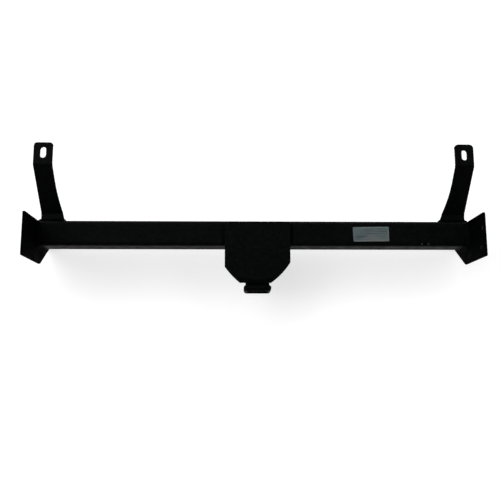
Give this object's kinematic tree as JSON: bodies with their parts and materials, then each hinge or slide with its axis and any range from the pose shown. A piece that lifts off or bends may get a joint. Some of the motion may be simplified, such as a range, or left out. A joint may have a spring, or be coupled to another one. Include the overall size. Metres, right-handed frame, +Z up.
{
  "type": "towbar",
  "caption": "Welded towbar: a square cross tube between upright end plates, with bent slotted arms, a gusset and a square receiver socket with a reinforced mouth, coated black.",
  "frame": {"origin": "centre of the hitch pin hole, on the receiver's axis", "axes": "+X to the right along the cross tube, seen from behind the vehicle; +Y forward, into the receiver's mouth and towards the vehicle; +Z up, the way the end plates rise"},
  "size_m": [1.117, 0.3609, 0.222],
  "materials": {
    "black_coat": "semi-gloss black powder coat with a fine orange peel",
    "weld_coat": "rippled weld bead under the same black powder coat",
    "label_foil": "dark grey matt film, blank"
  },
  "bodies": {
    "root": {"cross_tube": "black_coat", "receiver_tube": "black_coat", "receiver_collar": "black_coat", "top_gusset": "black_coat", "chain_plate": "black_coat", "left_end_plate": "black_coat", "right_end_plate": "black_coat", "left_arm": "black_coat", "right_arm": "black_coat", "rating_label": "label_foil", "left_end_plate_weld": "weld_coat", "right_end_plate_weld": "weld_coat", "left_arm_weld": "weld_coat", "right_arm_weld": "weld_coat", "left_gusset_weld": "weld_coat", "right_gusset_weld": "weld_coat", "gusset_rear_weld": "weld_coat", "left_receiver_top_weld": "weld_coat", "right_receiver_top_weld": "weld_coat", "left_receiver_bottom_weld": "weld_coat", "right_receiver_bottom_weld": "weld_coat", "left_receiver_front_weld": "weld_coat", "right_receiver_front_weld": "weld_coat", "left_chain_plate_weld": "weld_coat", "right_chain_plate_weld": "weld_coat", "collar_weld": "weld_coat"}
  },
  "joints": []
}
